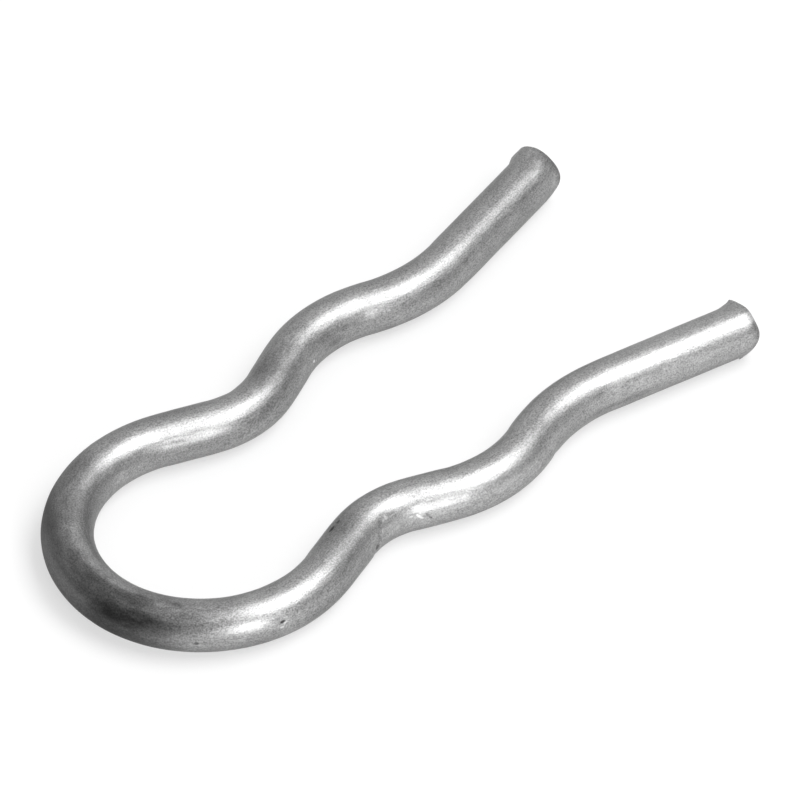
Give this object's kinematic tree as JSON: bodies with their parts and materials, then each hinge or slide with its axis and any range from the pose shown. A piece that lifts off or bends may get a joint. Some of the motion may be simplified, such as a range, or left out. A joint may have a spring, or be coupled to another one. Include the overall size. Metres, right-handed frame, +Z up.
{
  "type": "hose coupling clip",
  "caption": "Round spring wire bent flat into a bow, a pinched neck, a round grip seat and two flared legs, pushed across a hose coupling to lock it.",
  "frame": {"origin": "centre of the round grip seat at the middle of the wire", "axes": "+X along the clip from the bow to the open legs, +Y towards the left arm, +Z up, square to the plane that the wire is bent in"},
  "size_m": [0.0564, 0.0274, 0.0041],
  "materials": {
    "spring_wire": "satin zinc-plated spring steel wire with fine drawing lines"
  },
  "bodies": {
    "root": {"clip": "spring_wire"}
  },
  "joints": []
}
